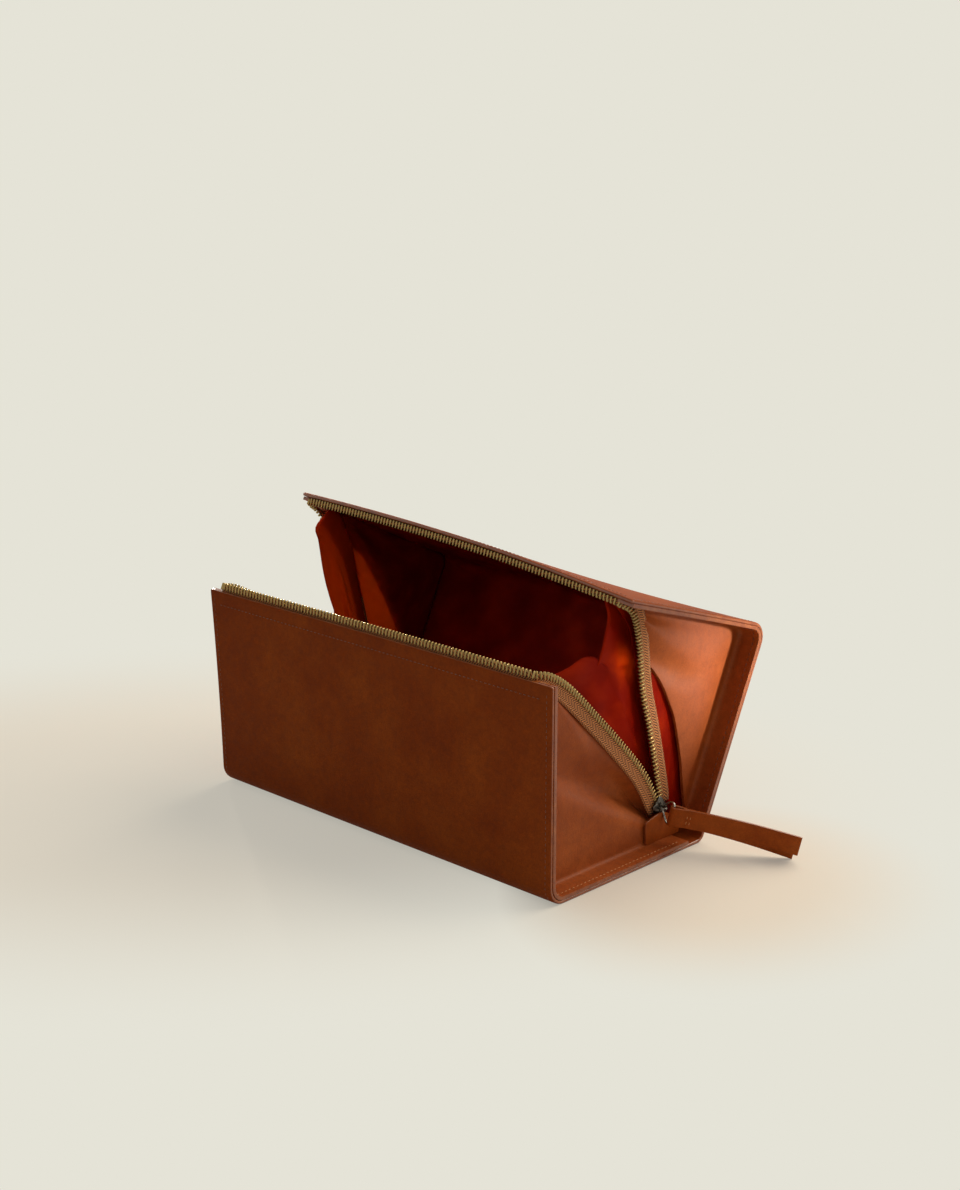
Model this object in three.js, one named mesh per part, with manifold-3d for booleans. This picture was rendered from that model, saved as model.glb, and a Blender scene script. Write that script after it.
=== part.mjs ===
// A zipped leather toiletry case, standing open.
// One skin of leather is folded into a square-sectioned box: a front panel and a
// base make the front half, a back panel and a lid make the back half, and the
// fold between base and back is the hinge. Set-in gussets close both ends, and a
// metal zip runs along the mouth and down each end to a point near the hinge.
// Millimetres, +X along the case, +Y to the back, +Z up, origin at the middle of
// the base's underside.
import * as THREE from 'three';
import { mergeVertices } from 'three/addons/utils/BufferGeometryUtils.js';
import Module from 'manifold-3d';

const wasm = await Module();
wasm.setup();

// The case as a whole
const caseLength = 270;
const caseDepth = 131;
const frontHeight = 122;
const backHeight = 131;
const lidReach = 126.5;
const lidSlopeDegrees = 3.3;
const openDegrees = 25.3;
const hingeRadius = 6;
const foldRadius = 11;
const hingeAllowance = 11;

// Sheet goods, from the outside in, and the clearance between two layers
const wrapLeather = 2.2;
const gussetLeather = 2;
const boardThickness = 1.2;
const satinThickness = 0.6;
const spineLeather = 1.6;
const layerGap = 0.3;
const endInset = 14;

// The zip
const toothPitch = 2.54;
const toothWidth = 1.3;
const toothReach = 1.6;
const toothHeight = 2;
const toothRoot = 0.5;
const beadWidth = 1.5;
const beadHeight = 2.4;
const partingClearance = 0.9;
const tapeThickness = 0.8;
const tapeWidth = 10;
const tapeShowing = 4.3;
const chainRise = 6;
const zipCornerRadius = 8;
const slackRun = 44;

// Slider, stops and end tabs
const sliderSeat = 24;
const sliderLength = 12;
const sliderWidth = 9;
const plateThickness = 1.2;
const wedgeWidth = 1.2;
const wedgeLength = 4;
const bailHeight = 4.2;
const bailLength = 6.4;
const bailThickness = 1.2;
const bailHole = 1.4;
const bailWall = 1.2;
const stopLength = 3;
const tabWidth = 30;
const tabHeight = 13.5;
const tabThickness = 1.4;
const tabCorner = 3;
const tabOverlap = 5.5;

// Pull: a bent wire link and a doubled strap
const wireDiameter = 1.2;
const linkReach = 8;
const linkWidth = 16;
const linkShoulder = 3.4;
const linkCorner = 1.2;
const linkNose = 1.1;
const strapWidth = 12;
const strapLength = 72;
const strapLeather = 1.4;
const strapLayerGap = 0.4;
const strapStep = 2.4;
const strapEyeRun = 7;
const pullHeadingDegrees = -7;
const pullFallDegrees = 15;
const strapTurnDegrees = 36.5;

// Back gusset's free edge: how far it draws back from the zip, and its shares of
// the run from the hinge to the mouth and of that depth
const drawBack = 12.5;
const freeEdgeShares = [
  [0, 0.3], [0.12, 0.55], [0.24, 0.84], [0.4, 1], [0.5, 0.92], [0.6, 0.62], [0.68, 0.25], [0.74, 0],
  [1.2, 0],
];

const foldSteps = 6;
const cornerSteps = 5;
const wireSides = 6;

// Places that everything else is worked out from
const rightEnd = caseLength / 2;
const frontFace = -caseDepth / 2;
const backFace = caseDepth / 2;
const hinge = new THREE.Vector2(backFace - hingeRadius, hingeRadius);
const gussetFace = rightEnd - endInset;
const gussetBack = gussetFace - gussetLeather;
const tapeFace = gussetBack - layerGap;
const tapeMiddle = tapeFace - tapeThickness / 2;
const endLiningFace = tapeFace - tapeThickness - layerGap;
const panelEnd = endLiningFace - satinThickness - layerGap;
const boardDepth = wrapLeather + layerGap;
const liningDepth = boardDepth + boardThickness + layerGap;
const lipDepth = wrapLeather + layerGap;
const gussetEdge = partingClearance + toothReach + beadWidth + tapeShowing;
const beadStart = partingClearance + toothReach - toothRoot;
const beadEnd = beadStart + beadWidth;
const tapeStart = beadEnd + layerGap;
const tapeEnd = tapeStart + tapeWidth;
const spineRadius = hingeRadius - wrapLeather - layerGap;
const baseEnd = hinge.x - hingeAllowance;
const lipStop = baseEnd - layerGap;

// The plane in which the closed zip lies goes through the hinge and passes
// chainRise above the front panel's top edge
const frontEdge = new THREE.Vector2(frontFace, frontHeight).sub(hinge);
const partingAngle = frontEdge.angle() - Math.asin(chainRise / frontEdge.length());
const slope = THREE.MathUtils.degToRad(lidSlopeDegrees);
const lidEdge = new THREE.Vector2(
  hingeRadius - lidReach * Math.cos(slope), backHeight - hingeRadius - lidReach * Math.sin(slope));
const closedLean = lidEdge.angle() - partingAngle + Math.asin(chainRise / lidEdge.length());
const openLean = THREE.MathUtils.degToRad(openDegrees);
const reach = caseLength + caseDepth;

const colours = {
  tan: 0x8a4a26, tanLight: 0xa05c30, satin: 0x9c2a12, board: 0xa8977c, tape: 0x7d5230,
  brass: 0x8c7440, gunmetal: 0x4b4742, steel: 0xa8a49c,
};

function finish(colour, roughness, metalness) {
  return new THREE.MeshStandardMaterial({ color: colour, roughness, metalness });
}
const leatherFinish = () => finish(colours.tan, 0.55, 0);
const gussetFinish = () => finish(colours.tanLight, 0.55, 0);
const satinFinish = () => finish(colours.satin, 0.4, 0);
const boardFinish = () => finish(colours.board, 0.9, 0);
const tapeFinish = () => finish(colours.tape, 0.85, 0);

// A closed geometry as a solid for cutting and joining, and back again
function solid(geometry) {
  const bare = geometry.clone();
  bare.deleteAttribute('normal');
  bare.deleteAttribute('uv');
  const merged = mergeVertices(bare);
  return new wasm.Manifold(new wasm.Mesh({
    numProp: 3,
    vertProperties: new Float32Array(merged.attributes.position.array),
    triVerts: new Uint32Array(merged.index.array),
  }));
}

function surface(manifold) {
  const mesh = manifold.getMesh();
  const geometry = new THREE.BufferGeometry();
  geometry.setAttribute('position', new THREE.BufferAttribute(new Float32Array(mesh.vertProperties), 3));
  geometry.setIndex(new THREE.BufferAttribute(new Uint32Array(mesh.triVerts), 1));
  geometry.computeVertexNormals();
  return geometry;
}

function piece(name, geometry, material) {
  const mesh = new THREE.Mesh(geometry, material);
  mesh.name = name;
  return mesh;
}

// A side-view outline, drawn in Y and Z, run along X from one place to another
const sideToFrame = new THREE.Matrix4().set(0, 0, 1, 0, 1, 0, 0, 0, 0, 1, 0, 0, 0, 0, 0, 1);
function alongCase(points, from, to) {
  const geometry = new THREE.ExtrudeGeometry(
    new THREE.Shape(points), { depth: to - from, bevelEnabled: false });
  return geometry.applyMatrix4(sideToFrame).translate(from, 0, 0);
}

// A plan outline, drawn in X and Y, run up from one height to another
function upwards(points, from, to) {
  const geometry = new THREE.ExtrudeGeometry(
    new THREE.Shape(points), { depth: to - from, bevelEnabled: false });
  return geometry.translate(0, 0, from);
}

function box(low, high) {
  const geometry = new THREE.BoxGeometry(high.x - low.x, high.y - low.y, high.z - low.z);
  return geometry.translate((high.x + low.x) / 2, (high.y + low.y) / 2, (high.z + low.z) / 2);
}

function arc(centre, radius, from, to, steps) {
  const curve = new THREE.EllipseCurve(centre.x, centre.y, radius, radius, from, to, to < from);
  return curve.getPoints(steps);
}

// One fold of a wrapped sheet: two straight legs meeting in a round corner.
// line(depth) is its side view at a depth under the outer face, from the first
// leg's free end to the second's.
function foldedSheet(start, corner, end, radius) {
  const first = corner.clone().sub(start).normalize();
  const second = end.clone().sub(corner).normalize();
  const side = Math.sign(first.cross(second));
  const firstIn = new THREE.Vector2(-first.y, first.x).multiplyScalar(side);
  const secondIn = new THREE.Vector2(-second.y, second.x).multiplyScalar(side);
  const turn = Math.acos(first.dot(second));
  const tangent = radius * Math.tan(turn / 2);
  const bendStart = corner.clone().addScaledVector(first, -tangent);
  const centre = bendStart.clone().addScaledVector(firstIn, radius);
  const fromAngle = firstIn.clone().negate().angle();
  function line(depth, startTrim = 0, endTrim = 0) {
    const free = start.clone().addScaledVector(first, startTrim).addScaledVector(firstIn, depth);
    const last = end.clone().addScaledVector(second, -endTrim).addScaledVector(secondIn, depth);
    const bend = arc(centre, radius - depth, fromAngle, fromAngle + side * turn, foldSteps);
    return [free, ...bend, last];
  }
  function strip(depth, thickness, startTrim = 0, endTrim = 0) {
    return [...line(depth, startTrim, endTrim), ...line(depth + thickness, startTrim, endTrim).reverse()];
  }
  return { line, strip };
}

const frontHalf = foldedSheet(
  new THREE.Vector2(frontFace, frontHeight), new THREE.Vector2(frontFace, 0), new THREE.Vector2(hinge.x, 0),
  foldRadius);
// The back half is drawn about the hinge, with its back panel upright
const backHalf = foldedSheet(
  new THREE.Vector2(hingeRadius, 0), new THREE.Vector2(hingeRadius, backHeight - hingeRadius), lidEdge,
  foldRadius);

// The parting line in one half's own frame: run measures from the hinge along
// the line, away measures square to it into that half
function partingFrame(origin, angle, intoHalf) {
  const along = new THREE.Vector2(Math.cos(angle), Math.sin(angle));
  const square = new THREE.Vector2(-along.y, along.x).multiplyScalar(intoHalf);
  const at = (run, away) => origin.clone().addScaledVector(along, run).addScaledVector(square, away);
  const band = (near, far, from, to) => [at(from, near), at(to, near), at(to, far), at(from, far)];
  const heightAt = (y, away) => {
    const run = (y - origin.x - square.x * away) / along.x;
    return at(run, away).y;
  };
  return { at, band, heightAt, along, square };
}
const frontParting = partingFrame(hinge, partingAngle, 1);
const backParting = partingFrame(new THREE.Vector2(), partingAngle + closedLean, -1);

// Gussets: a panel set in from the end, with lips turned out along the wrap
function gusset(sheet, cutter, wall, sign, startTrim, endTrim) {
  const inner = sheet.line(lipDepth, startTrim, endTrim);
  const panel = solid(alongCase(inner, gussetBack, gussetFace)).intersect(solid(cutter));
  const lips = solid(alongCase(sheet.strip(lipDepth, gussetLeather, wall, endTrim), gussetBack, rightEnd));
  const whole = panel.add(lips);
  return surface(sign > 0 ? whole : whole.mirror([1, 0, 0]));
}

// A satin panel on the end of one half, inside the tape
function endSatin(sheet, cutter, sign, startTrim, endTrim) {
  const inner = sheet.line(liningDepth + satinThickness + layerGap, startTrim, endTrim);
  const slab = solid(alongCase(inner, endLiningFace - satinThickness, endLiningFace));
  const panel = slab.intersect(cutter);
  return surface(sign > 0 ? panel : panel.mirror([1, 0, 0]));
}

// Zip tape, bead and teeth all follow one U in plan: down one end, round a
// corner, along the mouth, round the other corner and down the other end
function zipPlan(mouth, offset, tail) {
  const side = tapeMiddle + offset;
  const front = mouth - offset;
  const bend = zipCornerRadius + offset;
  const inner = tapeMiddle - zipCornerRadius;
  const left = arc(new THREE.Vector2(-inner, front + bend), bend, Math.PI, Math.PI * 1.5, cornerSteps);
  const right = arc(new THREE.Vector2(inner, front + bend), bend, Math.PI * 1.5, Math.PI * 2, cornerSteps);
  return [new THREE.Vector2(-side, tail), ...left, ...right, new THREE.Vector2(side, tail)];
}

function zipWall(mouth, thickness, tail, low, high) {
  const outline = [...zipPlan(mouth, thickness / 2, tail), ...zipPlan(mouth, -thickness / 2, tail).reverse()];
  return solid(upwards(outline, low, high));
}

function toothRow(parting, mouth, tail, into) {
  const run = zipPlan(mouth, 0, tail).map(
    (spot) => new THREE.Vector3(spot.x, spot.y, parting.heightAt(spot.y, beadStart)));
  const path = new THREE.CurvePath();
  run.slice(1).forEach((spot, index) => path.add(new THREE.LineCurve3(run[index], spot)));
  const count = Math.round(path.getLength() / toothPitch);
  const spots = path.getSpacedPoints(count);
  const inward = new THREE.Vector3(0, -parting.square.x, -parting.square.y);
  const teeth = spots.slice(1, -1).map((spot, index) => {
    const along = spots[index + 2].clone().sub(spots[index]);
    along.addScaledVector(inward, -along.dot(inward)).normalize();
    const across = new THREE.Vector3().crossVectors(along, inward);
    const tooth = new THREE.BoxGeometry(toothWidth, toothReach, toothHeight);
    tooth.translate(0, toothReach / 2 - toothRoot, 0);
    const basis = new THREE.Matrix4().makeBasis(along, inward, across).setPosition(spot);
    return solid(tooth.applyMatrix4(basis));
  });
  return wasm.Manifold.union([into, ...teeth]);
}

function frontWrap() {
  return alongCase(frontHalf.strip(0, wrapLeather), -rightEnd, rightEnd);
}

// The hinge strip lies inside the fold: a flange on the base, then a quarter
// turn that the back panel's lower edge slides round
function spineStrip() {
  const low = wrapLeather + layerGap;
  const bend = (radius) => arc(hinge, radius, -Math.PI / 2, -closedLean, foldSteps);
  const outline = [
    new THREE.Vector2(baseEnd, low), ...bend(spineRadius),
    ...bend(spineRadius - spineLeather).reverse(), new THREE.Vector2(baseEnd, low + spineLeather),
  ];
  return alongCase(outline, -rightEnd, rightEnd);
}

const front = frontFace + boardDepth;
const boardTop = frontParting.heightAt(frontFace + liningDepth + satinThickness, tapeEnd) - layerGap;

function frontBoard() {
  return box(
    new THREE.Vector3(-panelEnd, front, foldRadius),
    new THREE.Vector3(panelEnd, front + boardThickness, boardTop));
}
function baseBoard() {
  return box(
    new THREE.Vector3(-panelEnd, frontFace + foldRadius, boardDepth),
    new THREE.Vector3(panelEnd, lipStop, boardDepth + boardThickness));
}
function frontLining() {
  const outline = frontHalf.strip(
    liningDepth, satinThickness, frontHeight - boardTop, hingeAllowance + layerGap);
  return alongCase(outline, -panelEnd, panelEnd);
}

const frontMouth = frontFace + wrapLeather + layerGap + tapeThickness / 2;
const tapeTail = hinge.x + frontParting.along.x * sliderSeat / 2;
const chainTail = frontParting.at(sliderSeat - sliderLength / 2, beadEnd).x;

function frontTape() {
  const strip = frontParting.band(tapeStart, tapeEnd, 0, reach);
  const floor = liningDepth + satinThickness + layerGap;
  const shape = solid(alongCase(strip, -rightEnd, rightEnd));
  return surface(zipWall(frontMouth, tapeThickness, tapeTail, floor, reach).intersect(shape));
}

function frontTeeth() {
  const bead = zipWall(frontMouth, beadHeight, chainTail, 0, reach).intersect(
    solid(alongCase(frontParting.band(beadStart, beadEnd, 0, reach), -reach, reach)));
  return surface(toothRow(frontParting, frontMouth, chainTail, bead));
}

function backWrap() {
  return alongCase(backHalf.strip(0, wrapLeather), -rightEnd, rightEnd);
}

const lidStop = zipCornerRadius + beadHeight + layerGap;
const lidAlong = lidEdge.clone().sub(new THREE.Vector2(hingeRadius, backHeight - hingeRadius)).normalize();

// A stiffener laid against one leg of the back half, drawn as a turned box
function stiffener(origin, direction, from, to, inward) {
  const at = (run, depth) => origin.clone().addScaledVector(direction, run).addScaledVector(inward, depth);
  const outline = [
    at(from, boardDepth), at(to, boardDepth),
    at(to, boardDepth + boardThickness), at(from, boardDepth + boardThickness),
  ];
  return alongCase(outline, -panelEnd, panelEnd);
}
function backBoard() {
  const end = backHeight - hingeRadius - foldRadius;
  const origin = new THREE.Vector2(hingeRadius, 0);
  return stiffener(origin, new THREE.Vector2(0, 1), hingeAllowance, end, new THREE.Vector2(-1, 0));
}
function lidBoard() {
  const corner = new THREE.Vector2(hingeRadius, backHeight - hingeRadius);
  const inward = new THREE.Vector2(-lidAlong.y, lidAlong.x);
  return stiffener(corner, lidAlong, foldRadius, lidReach - lidStop, inward);
}
function backLining() {
  return alongCase(backHalf.strip(liningDepth, satinThickness, hingeAllowance, lidStop), -panelEnd, panelEnd);
}

const lidMouth = lidEdge.x + layerGap + beadHeight / 2;
const slackTail = backParting.at(slackRun, 0).x;

function lidTape() {
  const strip = backParting.band(tapeStart, tapeEnd, slackRun, reach);
  const room = backHalf.line(lipDepth);
  const shape = solid(alongCase(strip, -rightEnd, rightEnd)).intersect(solid(alongCase(room, -reach, reach)));
  return surface(zipWall(lidMouth, tapeThickness, slackTail, 0, reach).intersect(shape));
}

function lidTeeth() {
  const bead = zipWall(lidMouth, beadHeight, slackTail, 0, reach).intersect(
    solid(alongCase(backParting.band(beadStart, beadEnd, slackRun, reach), -reach, reach)));
  return surface(toothRow(backParting, lidMouth, slackTail, bead));
}

const frontCut = alongCase(frontParting.band(gussetEdge, reach, 0, reach), 0, reach);
const backCut = alongCase(
  [
    ...freeEdgeShares.map(
      ([run, depth]) => backParting.at(run * lidEdge.length(), gussetEdge + depth * drawBack)),
    backParting.at(reach, reach), backParting.at(0, reach),
  ], 0, reach);

// The end satin starts at the tape's stitching and stops short of the mouth's corners
function satinCut(parting, startRun, mouth) {
  const overlap = alongCase(parting.band(tapeStart + beadWidth, reach, startRun, reach), 0, reach);
  const clear = mouth + zipCornerRadius + tapeThickness;
  const behind = box(new THREE.Vector3(0, clear, 0), new THREE.Vector3(reach, reach, reach));
  return solid(overlap).intersect(solid(behind));
}
const frontSatinCut = satinCut(frontParting, 0, frontMouth);
const backSatinCut = satinCut(backParting, slackRun / 2, lidMouth);

// The leather tab that covers the zip's lower end, standing on the base
function endTab(sign) {
  const right = lipStop + tabOverlap;
  const left = right - tabWidth;
  const low = lipDepth + gussetLeather + layerGap;
  const high = low + tabHeight;
  const outline = [
    new THREE.Vector2(left, low), new THREE.Vector2(right, low), new THREE.Vector2(right, low + tabCorner),
    new THREE.Vector2(right - tabHeight + tabCorner, high), new THREE.Vector2(left + tabCorner, high),
    new THREE.Vector2(left, high - tabCorner),
  ];
  const inner = gussetFace + layerGap;
  const tab = alongCase(outline, inner, inner + tabThickness);
  return sign > 0 ? tab : surface(solid(tab).mirror([1, 0, 0]));
}

// A small metal stop closed over the tape just below the last tooth
function zipStop(sign) {
  const from = sliderSeat - sliderLength / 2 - layerGap;
  const outline = frontParting.band(partingClearance, beadEnd, from - stopLength, from);
  const stop = alongCase(outline, tapeMiddle - beadHeight / 2, tapeMiddle + beadHeight / 2);
  return sign > 0 ? stop : surface(solid(stop).mirror([1, 0, 0]));
}

// Slider: two plates joined by a wedge between the tooth rows, with side walls
// that leave a slot for each tape, and a bail that holds the link
function slider() {
  const half = sliderWidth / 2;
  const from = sliderSeat - sliderLength / 2;
  const to = sliderSeat + sliderLength / 2;
  const channel = beadHeight / 2 + layerGap;
  const slot = tapeThickness / 2 + layerGap;
  const plate = frontParting.band(-half, half, from, to);
  const wall = (side) => frontParting.band(side * half, side * (beadEnd + layerGap), from, to);
  const parts = [
    alongCase(plate, tapeMiddle + channel, tapeMiddle + channel + plateThickness),
    alongCase(plate, tapeMiddle - channel - plateThickness, tapeMiddle - channel),
    alongCase(
      frontParting.band(-wedgeWidth / 2, wedgeWidth / 2, to - wedgeLength, to),
      tapeMiddle - channel - plateThickness / 2, tapeMiddle + channel + plateThickness / 2),
  ];
  for (const side of [-1, 1]) {
    const outline = side > 0 ? wall(side) : wall(side).reverse();
    parts.push(alongCase(outline, tapeMiddle + slot, tapeMiddle + channel + plateThickness / 2));
    parts.push(alongCase(outline, tapeMiddle - channel - plateThickness / 2, tapeMiddle - slot));
  }
  parts.push(bail());
  return surface(wasm.Manifold.union(parts.map(solid)));
}

const plateTop = tapeMiddle + beadHeight / 2 + layerGap + plateThickness;
const seat = frontParting.at(sliderSeat, 0);
const bailCentre = new THREE.Vector3(plateTop + bailHeight - bailWall - bailHole, seat.x, seat.y);

// The bail is a flat eye standing on the plate, with its hole facing up
function bail() {
  const half = bailLength / 2;
  const top = bailHeight + plateThickness / 2;
  const eye = new THREE.Shape([
    new THREE.Vector2(0, -half), new THREE.Vector2(top - half / 2, -half), new THREE.Vector2(top, -half / 2),
    new THREE.Vector2(top, half / 2), new THREE.Vector2(top - half / 2, half), new THREE.Vector2(0, half),
  ]);
  const hole = new THREE.Path();
  hole.absarc(top - bailWall - bailHole, 0, bailHole, 0, Math.PI * 2, true);
  eye.holes.push(hole);
  const geometry = new THREE.ExtrudeGeometry(
    eye, { depth: bailThickness, bevelEnabled: false, curveSegments: wireSides + 2 });
  return geometry.translate(plateTop - plateThickness / 2, seat.x, seat.y - bailThickness / 2);
}

// The link is wire bent into a loop, its two ends meeting inside the strap
function link() {
  const half = (linkWidth - wireDiameter) / 2;
  const points = [
    [0, layerGap / 2], [0, half - linkCorner - wireDiameter], [0, half - linkCorner], [-linkCorner, half],
    [-linkShoulder, half],
    [-linkReach + linkCorner, linkNose + linkCorner], [-linkReach, linkNose],
  ].map(([out, across]) => new THREE.Vector3(linkReach + out, 0, across));
  const mirrored = points.slice().reverse().map((spot) => new THREE.Vector3(spot.x, 0, -spot.z));
  const path = new THREE.CatmullRomCurve3([...points, ...mirrored], false, 'centripetal');
  const rim = arc(new THREE.Vector2(), wireDiameter / 2, 0, Math.PI * 2, wireSides);
  const section = new THREE.Shape(rim.slice(1));
  return new THREE.ExtrudeGeometry(
    section, { steps: wireSides * foldSteps, bevelEnabled: false, extrudePath: path });
}

// The strap goes round the link's outer wire and lies back on itself
function strap() {
  const inner = wireDiameter / 2 + layerGap;
  const outer = inner + strapLeather;
  const near = strapLayerGap / 2;
  const far = near + strapLeather;
  const centre = new THREE.Vector2();
  const outline = [
    new THREE.Vector2(strapLength, near), new THREE.Vector2(strapLength, far),
    new THREE.Vector2(strapEyeRun, far), ...arc(centre, outer, Math.PI / 2, Math.PI * 1.5, foldSteps),
    new THREE.Vector2(strapEyeRun, -far), new THREE.Vector2(strapLength - strapStep, -far),
    new THREE.Vector2(strapLength - strapStep, -near), new THREE.Vector2(strapEyeRun, -near),
    ...arc(centre, inner, Math.PI * 1.5, Math.PI / 2, foldSteps), new THREE.Vector2(strapEyeRun, near),
  ];
  return upwards(outline, -strapWidth / 2, strapWidth / 2);
}

const toiletryCase = new THREE.Group();

toiletryCase.add(
  piece('front_base_wrap', frontWrap(), leatherFinish()),
  piece('spine_strip', spineStrip(), leatherFinish()),
  piece('front_board', frontBoard(), boardFinish()),
  piece('base_board', baseBoard(), boardFinish()),
  piece('front_base_lining', frontLining(), satinFinish()),
  piece('front_zip_tape', frontTape(), tapeFinish()),
  piece('front_zip_teeth', frontTeeth(), finish(colours.brass, 0.4, 0.9)),
);

const lidHalf = new THREE.Group();
lidHalf.position.set(0, hinge.x, hinge.y);
lidHalf.rotation.x = -openLean;
lidHalf.add(
  piece('back_lid_wrap', backWrap(), leatherFinish()),
  piece('back_board', backBoard(), boardFinish()),
  piece('lid_board', lidBoard(), boardFinish()),
  piece('back_lid_lining', backLining(), satinFinish()),
  piece('lid_zip_tape', lidTape(), tapeFinish()),
  piece('lid_zip_teeth', lidTeeth(), finish(colours.brass, 0.4, 0.9)),
);
toiletryCase.add(lidHalf);

for (const [end, sign] of [['right', 1], ['left', -1]]) {
  const frontTrim = hingeAllowance + layerGap;
  toiletryCase.add(
    piece(`${end}_front_gusset`, gusset(frontHalf, frontCut, 0, sign, 0, frontTrim), gussetFinish()),
    piece(
      `${end}_front_gusset_lining`, endSatin(frontHalf, frontSatinCut, sign, 0, frontTrim), satinFinish()),
    piece(`${end}_zip_tab`, endTab(sign), leatherFinish()),
    piece(`${end}_zip_stop`, zipStop(sign), finish(colours.brass, 0.4, 0.9)),
  );
  lidHalf.add(
    piece(
      `${end}_back_gusset`, gusset(backHalf, backCut, hingeAllowance, sign, hingeAllowance, 0),
      gussetFinish()),
    piece(
      `${end}_back_gusset_lining`, endSatin(backHalf, backSatinCut, sign, hingeAllowance, 0), satinFinish()),
  );
}

toiletryCase.add(piece('zip_slider', slider(), finish(colours.gunmetal, 0.35, 0.9)));

const pull = new THREE.Group();
pull.position.copy(bailCentre);
pull.rotation.set(
  0, THREE.MathUtils.degToRad(pullFallDegrees), THREE.MathUtils.degToRad(pullHeadingDegrees), 'ZYX');
pull.add(piece('pull_link', link(), finish(colours.steel, 0.3, 0.9)));
const strapGroup = new THREE.Group();
strapGroup.position.x = linkReach;
strapGroup.rotation.z = THREE.MathUtils.degToRad(strapTurnDegrees);
strapGroup.add(piece('pull_strap', strap(), leatherFinish()));
pull.add(strapGroup);
toiletryCase.add(pull);

export default toiletryCase;
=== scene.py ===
# A leather toiletry case, standing open on a pale studio floor.
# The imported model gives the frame, and each section below builds one piece over it.
# Distances are written in millimetres and turned to metres by mm.
import bpy
import bmesh
import math
from mathutils import Matrix, Vector, noise


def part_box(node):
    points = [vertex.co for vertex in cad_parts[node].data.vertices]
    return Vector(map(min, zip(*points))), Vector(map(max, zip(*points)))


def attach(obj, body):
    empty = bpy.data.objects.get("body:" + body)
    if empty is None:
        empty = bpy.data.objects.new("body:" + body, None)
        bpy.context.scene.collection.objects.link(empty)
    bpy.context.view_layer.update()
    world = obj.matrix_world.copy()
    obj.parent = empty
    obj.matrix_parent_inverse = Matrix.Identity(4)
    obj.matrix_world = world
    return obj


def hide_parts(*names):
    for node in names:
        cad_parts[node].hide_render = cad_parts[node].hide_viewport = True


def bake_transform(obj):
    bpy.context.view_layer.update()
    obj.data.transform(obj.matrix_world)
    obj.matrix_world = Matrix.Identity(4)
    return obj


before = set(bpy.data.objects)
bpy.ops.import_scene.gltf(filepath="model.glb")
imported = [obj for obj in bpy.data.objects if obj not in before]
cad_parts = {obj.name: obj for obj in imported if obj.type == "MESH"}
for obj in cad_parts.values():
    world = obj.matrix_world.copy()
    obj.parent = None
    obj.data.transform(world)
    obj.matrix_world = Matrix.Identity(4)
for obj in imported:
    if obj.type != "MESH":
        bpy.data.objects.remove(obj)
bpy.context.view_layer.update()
mm = 0.001

# Camera: the photograph looks down a little on the front corner that holds the slider.
# The heading, tilt, distance and lens were fitted to the case's eight corners.
camera_heading = math.radians(44.08)
camera_tilt = math.radians(15.47)
camera_distance = 1416 * mm
camera_target = Vector((-169.9, 196.7, 60)) * mm
lens_data = bpy.data.cameras.new("camera")
lens_data.sensor_width = 36
lens_data.lens = 60.5
camera = bpy.data.objects.new("camera", lens_data)
bpy.context.collection.objects.link(camera)
camera.rotation_euler = (math.pi / 2 - camera_tilt, 0, camera_heading)
view_back = Vector((math.sin(camera_heading) * math.cos(camera_tilt),
                    -math.cos(camera_heading) * math.cos(camera_tilt), math.sin(camera_tilt)))
camera.location = camera_target + view_back * camera_distance
bpy.context.scene.camera = camera
bpy.context.scene.view_settings.view_transform = "Standard"


# Small functions for colours, shader nodes and pieces, used in every section below
def linear(code):
    parts = [int(code[i:i + 2], 16) / 255 for i in (1, 3, 5)]
    return [p / 12.92 if p <= 0.04045 else ((p + 0.055) / 1.055) ** 2.4 for p in parts] + [1]


def add_node(tree, kind, sockets, **settings):
    """A shader node with its settings, and with its sockets set or linked. A node that is
    given for a socket stands for its first output."""
    node = tree.nodes.new("ShaderNode" + kind)
    for key, value in settings.items():
        setattr(node, key, value)
    for key, value in sockets.items():
        if isinstance(value, bpy.types.Node):
            value = value.outputs[0]
        if isinstance(value, bpy.types.NodeSocket):
            tree.links.new(value, node.inputs[key])
        else:
            node.inputs[key].default_value = value
    return node


def add_math(tree, operation, *values):
    return add_node(tree, "Math", dict(enumerate(values)), operation=operation)


def add_noise(tree, place, scale, detail, roughness=0.5):
    return add_node(tree, "TexNoise", {"Vector": place, "Scale": scale, "Detail": detail,
                                       "Roughness": roughness})


def add_range(tree, value, low, high, to_low, to_high, **settings):
    return add_node(tree, "MapRange", {"Value": value, "From Min": low, "From Max": high,
                                       "To Min": to_low, "To Max": to_high}, **settings)


def add_ramp(tree, value, *stops):
    """Colours spread over a value, from stops that each have a position and a colour."""
    ramp = add_node(tree, "ValToRGB", {"Fac": value})
    marks = ramp.color_ramp.elements
    for mark, (position, colour) in zip(marks, (stops[0], stops[-1])):
        mark.position = position
        mark.color = linear(colour)
    for position, colour in stops[1:-1]:
        marks.new(position).color = linear(colour)
    return ramp


def add_bump(tree, height, strength, distance=0.2 * mm):
    return add_node(tree, "Bump", {"Height": height, "Strength": strength, "Distance": distance})


def add_coat(tree, sockets):
    shader = add_node(tree, "BsdfPrincipled", sockets)
    add_node(tree, "OutputMaterial", {"Surface": shader})


def new_finish(name):
    finish = bpy.data.materials.new(name)
    finish.use_nodes = True
    finish.node_tree.nodes.clear()
    return finish, finish.node_tree


def object_place(tree):
    return add_node(tree, "TexCoord", {}).outputs["Object"]


def add_piece(name, shape, finishes):
    mesh = bpy.data.meshes.new(name)
    shape.to_mesh(mesh)
    shape.free()
    for finish in finishes:
        mesh.materials.append(finish)
    for face in mesh.polygons:
        face.use_smooth = True
    piece = bpy.data.objects.new(name, mesh)
    bpy.context.collection.objects.link(piece)
    return piece


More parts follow.
